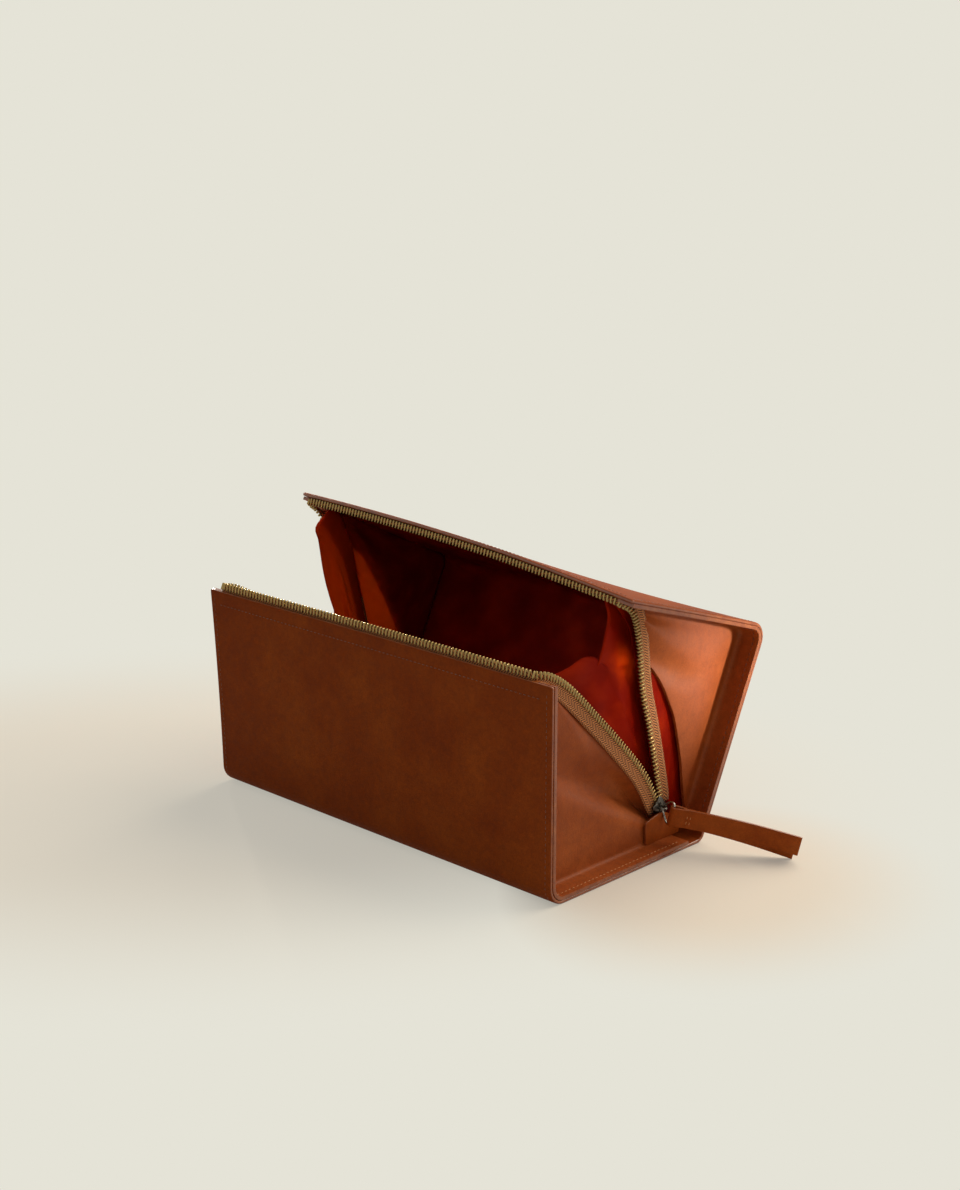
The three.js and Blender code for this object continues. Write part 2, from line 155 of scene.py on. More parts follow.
# Studio: a seamless pale paper floor that fades into a background of its own colour. A
# broad soft window lights the case from behind at the right. Three small lamps reach the
# right end, the satin between the zips and the left end, and the room adds a weak fill.
paper_colour = "#E5E3D7"
shade_colour = "#E3DCD0"
floor_radius = 9000 * mm
wide_shadow_middle = Vector((-136, -89.7, 0)) * mm
strap_shadow_middle = Vector((160, 20, 0)) * mm


def seen_directly(tree):
    """1 for what the camera sees, in the open, in a reflection or through something."""
    ray = add_node(tree, "LightPath", {})
    either = add_math(tree, "MAXIMUM", ray.outputs["Is Camera Ray"], ray.outputs["Is Glossy Ray"])
    return add_math(tree, "MAXIMUM", either, ray.outputs["Is Transmission Ray"])


paper, tree = new_finish("matt studio paper")
place = object_place(tree)
# The shadow lies to the left of the case, and a smaller one under the strap
wide = add_node(tree, "Mapping", {"Vector": place, "Location": wide_shadow_middle,
                                  "Rotation": (0, 0, camera_heading), "Scale": (1.5, 1, 1)},
                vector_type="TEXTURE")
far = add_node(tree, "VectorMath", {0: wide}, operation="LENGTH")
wide_fade = add_range(tree, far.outputs["Value"], 0.11, 0.31, 0.54, 1, interpolation_type="SMOOTHSTEP")
apart = add_node(tree, "VectorMath", {0: place, 1: strap_shadow_middle}, operation="DISTANCE")
strap_fade = add_range(tree, apart.outputs["Value"], 0.05, 0.15, 0.25, 1, interpolation_type="SMOOTHSTEP")
fade = add_math(tree, "MINIMUM", wide_fade, strap_fade)
share = add_math(tree, "MULTIPLY", fade, seen_directly(tree))
matt = add_node(tree, "BsdfDiffuse", {"Color": linear(shade_colour)})
glow = add_node(tree, "Emission", {"Color": linear(paper_colour)})
blend_in = add_node(tree, "MixShader", {"Fac": share, 1: matt, 2: glow})
add_node(tree, "OutputMaterial", {"Surface": blend_in})

shape = bmesh.new()
bmesh.ops.create_circle(shape, cap_ends=True, segments=96, radius=floor_radius)
add_piece("studio_floor", shape, [paper])


def add_lamp(name, spot, aim, size, power, colour, spread=180):
    """A square lamp. Its place, its aim and its size are in metres."""
    data = bpy.data.lights.new(name, "AREA")
    data.shape = "SQUARE"
    data.size = size
    data.energy = power
    data.spread = math.radians(spread)
    data.color = linear(colour)[:3]
    lamp = bpy.data.objects.new(name, data)
    lamp.location = spot
    lamp.rotation_euler = (Vector(aim) - Vector(spot)).to_track_quat("-Z", "Y").to_euler()
    bpy.context.collection.objects.link(lamp)


add_lamp("window_lamp", (0.3, 1.45, 1.4), (0, 0, 0.05), 2.2, 54, "#FFEFD8")
add_lamp("side_lamp", (0.56, 0.33, 0.12), (0.121, 0.083, 0.098), 0.06, 0.032, "#FFF9F0", 12)
add_lamp("mouth_lamp", (-0.45, -0.4, 0.45), (0.1115, 0.0165, 0.1115), 0.01, 0.006, "#FFF9F0", 1.3)
add_lamp("end_lamp", (-0.7, 0.35, 0.3), (-0.117, 0.05, 0.11), 0.15, 0.21, "#FFF9F0", 12)

room = bpy.data.worlds.new("room")
bpy.context.scene.world = room
room.use_nodes = True
tree = room.node_tree
tree.nodes.clear()
fill = add_node(tree, "Background", {"Color": linear("#FFF3E6"), "Strength": 0.35})
seen = add_node(tree, "Background", {"Color": linear(paper_colour), "Strength": 1})
pick = add_node(tree, "MixShader", {"Fac": seen_directly(tree), 1: fill, 2: seen})
add_node(tree, "OutputWorld", {"Surface": pick})


# Outer skin: one cut of tan leather, 2.2 mm thick, folded over boards at the front's
# foot, at the hinge and at the back's top. Its ends stand out past the gussets, and its
# cut edges are burnished. The open lid is bowed along its length and twisted a little.
case_length = 270 * mm
case_depth = 131 * mm
front_height = 122 * mm
back_height = 131 * mm
lid_reach = 126.5 * mm
lid_slope = math.radians(3.3)
open_angle = math.radians(25.3)
hinge_radius = 6 * mm
fold_radius = 11 * mm
skin_thickness = 2.2 * mm
skin_rounding = 1.0 * mm
end_inset = 14 * mm
lid_twist = 8.3 * mm
lid_bow = 3.5 * mm
lid_droop = 1.5 * mm
front_lean = 5 * mm
front_swell = 1.4 * mm
end = case_length / 2
front_face = -case_depth / 2
hinge_line = Vector((0, case_depth / 2 - hinge_radius, hinge_radius))
turn_open = Matrix.Rotation(-open_angle, 3, "X")

# Skin past the plane through the hinge with this normal, above its foot, goes with the open lid
hinge_normal = Vector((0, 0.839, 0.545))

lid_corner = Vector((0, hinge_radius, back_height - hinge_radius))
lid_line = Vector((0, -math.cos(lid_slope), -math.sin(lid_slope)))
lid_edge = lid_corner + lid_line * lid_reach
lid_up = Vector((0, -math.sin(lid_slope), math.cos(lid_slope)))


def clamp(value, high=1.0):
    return min(max(value, 0), high)


def ease(value, low, high):
    share = clamp((value - low) / (high - low))
    return share * share * (3 - 2 * share)


def open_half(spot):
    """A place on the back half, drawn upright about the hinge, as it is in the open case."""
    across = spot.x / end
    lift = lid_bow * (1 - across ** 2) - lid_twist * across - lid_droop * ease(across, 0.1, 1)
    forward = clamp((lid_corner.y - spot.y) / lid_reach, 1.05) ** 1.2
    height = clamp(spot.z / lid_corner.z)
    return turn_open @ Vector((spot.x, spot.y, spot.z + lift * forward * height)) + hinge_line


def front_half(spot):
    """A place on the front half. The panel's top leans out at its left end."""
    lean = front_lean * clamp(-spot.x / end) ** 1.5 * clamp(spot.z / front_height, 1.05) ** 1.6
    return Vector((spot.x, spot.y - lean, spot.z + 0.3 * lean))


def swell_at(x, z):
    """How far the front panel swells out, most in its middle."""
    return front_swell * math.sin(math.pi * min(z / front_height, 1)) * math.cos(x / end * math.pi / 2)


def bevel(shape, geom, size, segments, affect="EDGES"):
    bmesh.ops.bevel(shape, geom=geom, offset=size, offset_type="OFFSET", segments=segments,
                    profile=0.5, affect=affect, material=-1)


def move_made(shape, made, step):
    """Moves the corners that an extrusion made."""
    verts = [v for v in made["geom"] if isinstance(v, bmesh.types.BMVert)]
    bmesh.ops.translate(shape, verts=verts, vec=step)


def finished_mesh(piece):
    """A new mesh of what an object's modifiers, or its curve, make of it."""
    bpy.context.view_layer.update()
    return bpy.data.meshes.new_from_object(piece.evaluated_get(bpy.context.evaluated_depsgraph_get()))


def thicken(piece, thickness, rim, rounding=0, even=True, offset=-1, segments=3):
    """Gives a sheet its thickness, with rim as the finish of its cut edge, rounds that edge,
    and keeps the result in the mesh. Offset -1 puts the thickness below the sheet's outer
    face, and 0 puts half of it on either side."""
    wall = piece.modifiers.new("thickness", "SOLIDIFY")
    wall.thickness = thickness
    wall.offset = offset
    wall.use_even_offset = even
    wall.material_offset_rim = rim
    if rounding:
        soft = piece.modifiers.new("rounding", "BEVEL")
        soft.width = rounding
        soft.segments = segments
        soft.limit_method = "ANGLE"
        soft.angle_limit = math.radians(50)
    old = piece.data
    piece.data = finished_mesh(piece)
    piece.modifiers.clear()
    bpy.data.meshes.remove(old)
    piece.data.name = piece.name


def leather_finish(name, dark, tan, light, gloss, shine):
    """Smooth aniline calf: mottled tan with a fine natural grain and a soft, waxy shine."""
    finish, tree = new_finish(name)
    place = object_place(tree)
    cloud = add_noise(tree, place, 22, 5, 0.6)
    mottle = add_noise(tree, place, 260, 4, 0.65)
    speck = add_noise(tree, place, 1150, 2, 0.6)
    broad = add_ramp(tree, cloud, (0.32, dark), (0.5, tan), (0.7, light))
    fine = add_range(tree, mottle, 0.3, 0.7, 0.86, 1.12)
    finer = add_range(tree, speck, 0.3, 0.7, 0.88, 1.1)
    both = add_math(tree, "MULTIPLY", fine, finer)
    colour = add_node(tree, "VectorMath", {0: broad, "Scale": both}, operation="SCALE")
    # Pores and creases about 0.7 mm across, over a finer grain
    pores = add_node(tree, "TexVoronoi", {"Vector": place, "Scale": 1400, "Randomness": 1}, feature="F1")
    grain = add_math(tree, "MULTIPLY_ADD", mottle, 1.5, pores)
    rough = add_range(tree, mottle, 0.3, 0.7, gloss - 0.06, gloss + 0.08)
    add_coat(tree, {"Base Color": colour, "Roughness": rough, "IOR": 1.45, "Specular IOR Level": shine,
                    "Normal": add_bump(tree, grain, 0.22, 0.22 * mm)})
    return finish


def edge_finish(name, colour, worn):
    """A cut leather edge, burnished with wax: paler than the face, smooth and a little shiny."""
    finish, tree = new_finish(name)
    wear = add_noise(tree, object_place(tree), 180, 4, 0.7)
    tone = add_ramp(tree, wear, (0.35, colour), (0.68, worn))
    add_coat(tree, {"Base Color": tone, "Roughness": 0.17, "IOR": 1.5, "Specular IOR Level": 0.7,
                    "Normal": add_bump(tree, wear, 0.1)})
    return finish


skin_leather = leather_finish("aniline calf, skin", "#76320D", "#7F390F", "#8B4313", 0.7, 0.1)
burnished_edge = edge_finish("burnished leather edge", "#7E3C1B", "#9C5629")

hinge_bend = hinge_radius * math.tan((math.pi / 2 - open_angle) / 2)
profile = [Vector((0, front_face, front_height)), Vector((0, front_face, 0)),
           Vector((0, hinge_line.y + hinge_bend, 0))]
profile += [turn_open @ spot + hinge_line for spot in (lid_corner, lid_edge)]
shape = bmesh.new()
outline = [shape.verts.new((-end, spot.y, spot.z)) for spot in profile]
edges = [shape.edges.new(pair) for pair in zip(outline, outline[1:])]
move_made(shape, bmesh.ops.extrude_edge_only(shape, edges=edges), (case_length, 0, 0))


def runs_along(edge):
    return abs(edge.verts[0].co.x - edge.verts[1].co.x) > end


for fold in [e for e in shape.edges if runs_along(e) and len(e.link_faces) == 2]:
    spot = fold.verts[0].co
    if spot.z > 50 * mm:
        size = fold_radius * math.tan((math.pi / 2 + lid_slope) / 2)
    else:
        size = fold_radius if spot.y < 0 else hinge_bend
    bevel(shape, [fold], size, 9)
long_edges = [e for e in shape.edges if runs_along(e)]
bmesh.ops.subdivide_edges(shape, edges=long_edges, cuts=59, use_grid_fill=True)
deep_edges = [e for e in shape.edges if e.calc_length() > 60 * mm]
bmesh.ops.subdivide_edges(shape, edges=deep_edges, cuts=23, use_grid_fill=True)
bmesh.ops.recalc_face_normals(shape, faces=shape.faces)
for vert in shape.verts:
    rel = vert.co - hinge_line
    if rel.dot(hinge_normal) > 0 and vert.co.z > 8 * mm:
        upright = turn_open.transposed() @ Vector((0, rel.y, rel.z))
        vert.co = open_half(Vector((vert.co.x, upright.y, upright.z)))
    elif vert.co.y < front_face + 1 * mm:
        vert.co.y -= swell_at(vert.co.x, vert.co.z)
        vert.co = front_half(vert.co)
skin = add_piece("leather_skin", shape, [skin_leather, burnished_edge])
thicken(skin, skin_thickness, 1, skin_rounding)
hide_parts("front_base_wrap", "back_lid_wrap", "spine_strip")
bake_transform(skin)


# Zip: brown woven tape on each half, its edge held by antique brass teeth. Each half's
# line of teeth runs up one end, round a corner, along the mouth and down the other end.
# The two lines meet at the slider, a little in front of the hinge.
tooth_pitch = 2.54 * mm
tooth_along, tooth_deep, tooth_high = 1.24 * mm, 4.1 * mm, 2.7 * mm
nose_along, nose_high = 0.72, 0.62
tooth_seat = 0.12
tooth_rounding = 0.28 * mm
corner_reach = 12 * mm
corner_turn = 7 * mm
chain_plane = 118.3 * mm
front_mouth = -62.6 * mm
lid_mouth = lid_edge.y + 1.6 * mm
front_tape = 9.8 * mm
lid_tape = 8.6 * mm
tape_thickness = 0.8 * mm
tape_clearance = 0.6 * mm

# The runs of teeth at the right end, from the foot up, as Y and Z
front_run = [(43.7, 24.2), (39.9, 30.1), (33.4, 41.4), (24.3, 53.3), (6.7, 71.9), (-10.4, 88.7),
             (-34.9, 111.4), (-50.5, 121.6)]
back_run = [(-22.0, 9.7), (-26.9, 17.3), (-51.5, 48.4), (-68.4, 68.9), (-89, 95.4), (-105.5, 109.6)]

# The way round a corner: how far in from the end, back from the mouth and down
corner_steps = [(1.4, 2.2, 0.7), (7, 0, 0)]
mouth_straight = 60 * mm


def path_length(points):
    return sum((b - a).length for a, b in zip(points, points[1:]))


def even_line(points, count):
    """Places that part a line of points into equal steps."""
    lengths = [0]
    for a, b in zip(points, points[1:]):
        lengths.append(lengths[-1] + (b - a).length)
    even, k = [], 0
    for i in range(count + 1):
        goal = lengths[-1] * i / count
        while k < len(points) - 2 and lengths[k + 1] < goal:
            k += 1
        share = (goal - lengths[k]) / max(lengths[k + 1] - lengths[k], 1e-9)
        even.append(points[k].lerp(points[k + 1], min(share, 1)))
    return even


def smooth_line(points, step):
    """Places at even steps along a smooth line through the points."""
    points = [Vector(p) for p in points]
    padded = [points[0] * 2 - points[1]] + points + [points[-1] * 2 - points[-2]]
    dense = []
    for a, b, c, d in zip(padded, padded[1:], padded[2:], padded[3:]):
        for t in [i / 24 for i in range(24)]:
            dense.append(0.5 * (2 * b + (c - a) * t + (2 * a - 5 * b + 4 * c - d) * t * t
                                + (3 * b - a - 3 * c + d) * t * t * t))
    dense.append(points[-1])
    return even_line(dense, max(round(path_length(dense) / step), 1))


def chain_line(run, mouth, mouth_height, flares):
    """The middle line of one row of teeth, from the right end's foot to the left end's.
    The zip springs outwards at its two corners, by flares."""
    halves = []
    for flare in flares:
        half = [(chain_plane + flare * ease(i / (len(run) - 1), 0.6, 1), y * mm, z * mm)
                for i, (y, z) in enumerate(run)]
        half += [(chain_plane + flare - x * mm, mouth + y * mm, mouth_height - z * mm)
                 for x, y, z in corner_steps]
        halves.append(half + [(mouth_straight, mouth, mouth_height)])
    left = [(-x, y, z) for x, y, z in reversed(halves[1])]
    return smooth_line(halves[0] + [(0, mouth, mouth_height)] + left, tooth_pitch)


def chain_frame(line, index, mouth_away, flares):
    """The direction along the teeth, the one from them into their tape, and the tape's face."""
    ahead = line[min(index + 1, len(line) - 1)] - line[max(index - 1, 0)]
    ahead.normalize()
    corner = chain_plane + flares[0 if line[index].x > 0 else 1]
    near_corner = abs(line[index].y - line[len(line) // 2].y) < corner_reach
    side = ease(abs(line[index].x), corner - corner_turn, corner - 0.5 * mm) if near_corner else 1
    outwards = Vector((math.copysign(side, line[index].x), -(1 - side), 0)).normalized()
    away = ahead.cross(outwards)
    if away.dot(mouth_away) < 0:
        away.negate()
    return ahead, away.normalized(), outwards


def laid_sheet(name, columns, rows, place_at, finishes, lengths=(1, 1)):
    """A sheet of cloth or leather laid out by place_at, which gives the place of each share
    of its length and width. Its UV map measures both in metres, for patterns that follow it."""
    shape = bmesh.new()
    grid = bmesh.ops.create_grid(shape, x_segments=columns, y_segments=rows, size=0.5)
    uv_map = shape.loops.layers.uv.new("UVMap")
    for face in shape.faces:
        for corner in face.loops:
            spot = corner.vert.co
            corner[uv_map].uv = ((spot.x + 0.5) * lengths[0], (spot.y + 0.5) * lengths[1])
    for vert in grid["verts"]:
        vert.co = place_at(clamp(vert.co.x + 0.5), clamp(vert.co.y + 0.5))
    return add_piece(name, shape, finishes)


def sample(line, share):
    spot = clamp(share) * (len(line) - 1)
    index = min(int(spot), len(line) - 2)
    return line[index].lerp(line[index + 1], spot - index)


def woven_tape_finish(name, dark, light):
    """Zip tape: spun polyester woven in a herringbone of 2.2 mm columns, dull brown."""
    finish, tree = new_finish(name)
    parts = add_node(tree, "SeparateXYZ", {0: add_node(tree, "UVMap", {}, uv_map="UVMap")})
    column = add_math(tree, "PINGPONG", parts.outputs["Y"], 2.2 * mm)
    slant = add_math(tree, "ADD", parts.outputs["X"], column)
    rib = add_math(tree, "MULTIPLY", slant, 2 * math.pi / (1.8 * mm))
    tone = add_range(tree, add_math(tree, "SINE", rib), -0.75, 0.6, 0, 1)
    mix = add_node(tree, "Mix", {0: tone}, data_type="RGBA")
    mix.inputs["A"].default_value = linear(dark)
    mix.inputs["B"].default_value = linear(light)
    add_coat(tree, {"Base Color": mix.outputs["Result"], "Roughness": 0.8, "Sheen Weight": 0.06,
                    "Sheen Roughness": 0.4, "Normal": add_bump(tree, tone, 0.7)})
    return finish


def metal_finish(name, dark, light, roughness, scale):
    """Plated zinc or brass, worn bright on what rubs and dark in its hollows."""
    finish, tree = new_finish(name)
    wear = add_noise(tree, object_place(tree), scale, 3, 0.6)
    shape_of = add_node(tree, "NewGeometry", {})
    proud = add_math(tree, "MULTIPLY_ADD", shape_of.outputs["Pointiness"], 2.2, -1.1)
    tone = add_ramp(tree, add_math(tree, "ADD", wear, proud), (0.36, dark), (0.66, light))
    rough = add_range(tree, wear, 0, 1, roughness + 0.14, roughness - 0.08)
    add_coat(tree, {"Base Color": tone, "Metallic": 1, "Roughness": rough,
                    "Normal": add_bump(tree, wear, 0.15)})
    return finish


tape_weave = woven_tape_finish("woven polyester tape", "#3A180B", "#C07C42")
tooth_brass = metal_finish("antique brass", "#261C11", "#9A8253", 0.32, 900)


def under_lid(spot, outwards):
    """The lid's tape turns in where it meets the leather over it."""
    over = (spot - lid_edge).dot(lid_up) + skin_thickness + tape_clearance
    return spot - (lid_up + outwards) * over if over > 0 else spot


def join_halves(piece, body):
    """The lid's half of the zip is baked where it stands and left unattached. The front's half is attached
    to its body.
    """
    if body == "case_lid":
        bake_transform(piece)
    else:
        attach(piece, body)


def add_zip_half(name, run, mouth, mouth_height, mouth_away, flares, tape_width, settle, to_case, body,
                 nodes):
    line = chain_line(run, mouth, mouth_height, flares)
    frames = [chain_frame(line, i, mouth_away, flares) for i in range(len(line))]

    def tape_at(u, v):
        index = u * (len(line) - 1)
        low = min(int(index), len(line) - 2)
        away = frames[low][1].lerp(frames[low + 1][1], index - low)
        outwards = frames[low][2].lerp(frames[low + 1][2], index - low)
        return to_case(settle(sample(line, u) + away * (v * tape_width), outwards))

    tape = laid_sheet(name + "_zip_tape_cloth", len(line) - 1, 5, tape_at, [tape_weave],
                      (tooth_pitch * (len(line) - 1), tape_width))
    thicken(tape, tape_thickness, 0, even=False, offset=0)

    # A tooth is a brass clamp closed over the tape's edge, with a narrower nose
    teeth = bmesh.new()
    tooth_size = Matrix.Diagonal((tooth_along, tooth_deep, tooth_high, 1))
    tooth = tooth_size @ Matrix.Translation((0, tooth_seat, 0))
    for i in range(1, len(line) - 1):
        ahead, away, out = frames[i]
        made = bmesh.ops.create_cube(teeth, size=1)["verts"]
        bmesh.ops.scale(teeth, vec=(nose_along, 1, nose_high), verts=[v for v in made if v.co.y < 0])
        turn = Matrix((ahead, away, ahead.cross(away))).transposed().to_4x4()
        for vert in made:
            vert.co = to_case(line[i] + turn @ (tooth @ vert.co))
    bevel(teeth, list(teeth.edges), tooth_rounding, 1)
    row = add_piece(name + "_zip_teeth_row", teeth, [tooth_brass])

    for piece, node, finish in ((tape, nodes[0], "zip_tape"), (row, nodes[1], "zip_brass")):
        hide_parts(node)
        join_halves(piece, body)
    return line, frames


# Each half of the zip is laid on its own half of the case, the front's on the front and the lid's on the
# open lid
front_line, front_frames = add_zip_half(
    "front", front_run, front_mouth, 125.4 * mm, Vector((0, -0.55, -0.84)), (2.5 * mm, 9 * mm), front_tape,
    lambda spot, outwards: spot, front_half, "case_front", ("front_zip_tape", "front_zip_teeth"))
lid_teeth_line, lid_frames = add_zip_half(
    "lid", back_run, lid_mouth, lid_edge.z - 4.9 * mm, Vector((0, 0.79, 0.61)), (7 * mm, 12 * mm), lid_tape,
    under_lid, open_half, "case_lid", ("lid_zip_tape", "lid_zip_teeth"))


# Gussets: four triangles of thinner tan leather set 14 mm in from the ends. Each has a
# lip turned out and sewn flat along the skin, so it stands in a shallow tray. The front
# ones have a soft crease where they fold as the case shuts, and the back ones are cut
# back from the zip in a long hollow.
gusset_leather_thickness = 2.0 * mm
gusset_rounding = 0.35 * mm
gusset_bend = 3 * mm
gusset_plane = end - end_inset
gusset_leather = leather_finish("aniline calf, gussets", "#8A4119", "#954A1F", "#A25526", 0.46, 0.2)
lip_depth = skin_thickness + gusset_leather_thickness
shown_tape = 6.6 * mm
stiff_reach = 14 * mm
right_back_free = [(2.0, 8.5), (-8, 23), (-17, 36.8), (-33.6, 57.6), (-44.6, 67.4), (-60.2, 79.2),
                   (-73.8, 86.3), (-80, 92.6), (-87, 98.4), (-100, 109.6), (-114.5, 113.0)]
left_back_free = [(2.0, 8.5), (-3, 22), (-9, 40), (-19.4, 60), (-39.5, 77.8), (-57.4, 89), (-74.9, 98.2),
                  (-85, 101), (-100, 109.8), (-114.5, 113.0)]


def side_view(pairs):
    """Places in the case's side view, from Y and Z in millimetres."""
    return [Vector((0, y, z)) * mm for y, z in pairs]


def skin_line(start, corner, finish_at, depth, step):
    """The skin's side view at a depth under its outer face."""
    first = (corner - start).normalized()
    second = (finish_at - corner).normalized()
    inward = (second - first).normalized()
    turn = first.angle(second)
    centre = corner + inward * (fold_radius / math.cos(turn / 2))
    side = first.cross(second)
    into_first = side.cross(first).normalized()
    into_second = side.cross(second).normalized()
    points = [start + into_first * depth]
    for i in range(9):
        out = -into_first
        out.rotate(Matrix.Rotation(turn * i / 8, 3, side))
        points.append(centre + out * (fold_radius - depth))
    points.append(finish_at + into_second * depth)
    dense = []
    for a, b in zip(points, points[1:]):
        count = max(int((b - a).length / step), 1)
        dense += [a.lerp(b, i / count) for i in range(count)]
    return dense + [points[-1]]


def front_skin_line(top, gap, depth, step=3 * mm):
    """Down the front panel from a height, and along the base to a gap before the hinge."""
    return skin_line(Vector((0, front_face, top)), Vector((0, front_face, 0)),
                     Vector((0, hinge_line.y - gap, 0)), depth, step)


def back_skin_line(foot, gap, depth, step=3 * mm):
    """Up the back from a height, and along the lid to a gap before its edge."""
    return skin_line(Vector((0, hinge_radius, foot)), lid_corner, lid_edge - lid_line * gap, depth, step)


def moved_run(run, away):
    """A run of teeth, moved sideways in the side view."""
    spots = side_view(run)
    moved = []
    for i, spot in enumerate(spots):
        ahead = (spots[min(i + 1, len(spots) - 1)] - spots[max(i - 1, 0)]).normalized()
        moved.append(spot + Vector((0, ahead.z, -ahead.y)) * away)
    return moved


def add_gusset(name, side, outer, free_edge, to_case, dent, node):
    """outer is the skin's inner line and free_edge the cut edge by the zip, both in Y and Z."""
    count = 110
    foot = even_line(outer, count)
    edge = even_line(free_edge, count)
    lip_rows, bend_rows, panel_rows = 4, 5, 30
    rows = lip_rows + bend_rows + panel_rows

    def place_at(u, v):
        row = round(v * rows)
        base = sample(foot, u)
        goal = sample(edge, u)
        lean = goal - base
        inward = lean.normalized() if lean.length > 1e-6 else Vector((0, 0, 1))
        near = min(gusset_bend, lean.length * 0.5)
        if row <= lip_rows:
            x = end - (end_inset - gusset_bend) * row / lip_rows
            spot = base.copy()
        elif row <= lip_rows + bend_rows:
            angle = math.pi / 2 * (row - lip_rows) / bend_rows
            x = gusset_plane + gusset_bend * (1 - math.sin(angle))
            spot = base + inward * near * (1 - math.cos(angle))
        else:
            share = (row - lip_rows - bend_rows) / panel_rows
            spot = (base + inward * near).lerp(goal, share)
            rest = ease((spot - base).length, 0, stiff_reach)
            x = gusset_plane + dent(spot.y / mm, spot.z / mm, share) * mm * rest
        return to_case(Vector((x * side, spot.y, spot.z)))

    piece = laid_sheet(name, count, rows, place_at, [gusset_leather, burnished_edge])
    if side < 0:
        piece.data.flip_normals()
    thicken(piece, gusset_leather_thickness, 1, gusset_rounding, False)
    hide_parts(node)
    return piece


def front_dent(y, z, share):
    # A valley from low on the front edge up to the zip's foot, where it is deepest
    ax, az, bx, bz = -42, 64.2, 23.3, 31.2
    along = ((y - ax) * (bx - ax) + (z - az) * (bz - az)) / ((bx - ax) ** 2 + (bz - az) ** 2)
    above = (z - (az + (bz - az) * along)) * 0.9
    depth = 11.5 * ease(along, -0.9, 0.95) * (1 - 0.92 * ease(share, 0.86, 1))
    width = 13 if above > 0 else 6
    return -depth * math.exp(-(above / width) ** 2) - 3.4 * ease(share, 0.8, 1)


def left_front_dent(y, z, share):
    return front_dent(y, z, share) + 7 * ease(z, 70, 122) * ease(share, 0.2, 1)


def back_dent(z, share, tape_low, tape_high):
    # Bowed out a little in the middle. The lower part stands clear of the zip, and the
    # upper part goes in under the tape that is sewn over it
    under_tape = ease(z, tape_low, tape_high) * ease(share, 0.55, 1)
    flare = 4.2 * ease(z, 84, 116) * ease(share, 0.2, 1)
    return 2.0 * math.sin(math.pi * clamp(share)) * ease(z, 20, 70) - 3.6 * under_tape + flare


front_foot = front_skin_line(front_height, 9 * mm, lip_depth)
back_foot = back_skin_line(9 * mm, 1.5 * mm, lip_depth)
beside_tape = list(reversed(moved_run(front_run, -shown_tape)))
front_free = side_view([(-61.2, 121.9)]) + beside_tape[1:] + side_view([(42.5, 13), (48.5, 5)])
front_free = smooth_line(front_free, 2 * mm)
for end_name, side, dent, free, tape_low, tape_high in (
        ("right", 1, front_dent, right_back_free, 72, 92),
        ("left", -1, left_front_dent, left_back_free, 82, 101)):
    piece = add_gusset(end_name + "_front_gusset_leather", side, front_foot, front_free, front_half, dent,
                       end_name + "_front_gusset")
    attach(piece, "case_front")
    edge = smooth_line(side_view(free), 2 * mm)
    piece = add_gusset(end_name + "_back_gusset_leather", side, back_foot, edge, open_half,
                       lambda y, z, share: back_dent(z, share, tape_low, tape_high),
                       end_name + "_back_gusset")
    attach(piece, "case_lid")


# Lining: red-orange satin, sewn in along the mouth. One length goes down the front,
# over the base, across the hinge and up under the lid. A panel covers each gusset from
# inside, and a slack web with a hemmed top joins the two halves at each end.
satin_thickness = 0.5 * mm
lining_depth = 5.0 * mm
lining_end = 117.2 * mm
lining_length = 0.47


def satin_finish(name, dark, red, light):
    """Polyester satin: a deep red-orange with long float threads, bright where it turns to
    the light."""
    finish, tree = new_finish(name)
    place = add_node(tree, "UVMap", {}, uv_map="UVMap")
    threads = add_node(tree, "Mapping", {"Vector": place, "Scale": (120, 4200, 1)})
    weave = add_noise(tree, threads, 1, 3)
    cloud = add_noise(tree, place, 45, 4, 0.55)
    tone = add_ramp(tree, cloud, (0.3, dark), (0.5, red), (0.72, light))
    fine = add_range(tree, weave, 0, 1, 0.84, 1.14)
    colour = add_node(tree, "VectorMath", {0: tone, "Scale": fine}, operation="SCALE")
    bump = add_bump(tree, add_math(tree, "MULTIPLY_ADD", cloud, 9, weave), 0.25)
    rough = add_range(tree, weave, 0, 1, 0.3, 0.46)
    shader = add_node(tree, "BsdfPrincipled", {"Base Color": colour, "Roughness": rough, "Metallic": 0.2,
                                               "Normal": bump, "IOR": 1.2, "Specular IOR Level": 0.12})
    # Daylight glows through the single layer of satin
    through = add_node(tree, "BsdfTranslucent", {"Color": linear("#F08A3C"), "Normal": bump})
    cloth = add_node(tree, "MixShader", {"Fac": 0.2, 1: shader, 2: through})
    add_node(tree, "OutputMaterial", {"Surface": cloth})
    return finish


satin = satin_finish("red-orange satin", "#780C02", "#8E1503", "#AA2805")
front_inside = even_line(front_skin_line(119 * mm, 9 * mm, lining_depth), 66)
back_inside = even_line(back_skin_line(9 * mm, 5 * mm, lining_depth), 74)
inside_rows = len(front_inside) + len(back_inside) - 1


def ruck_at(across, up, size, seed):
    """A ruck in slack cloth, between -1 and 1, for a place and the rucks' size."""
    return noise.noise(Vector((across / size, up / size, seed)))


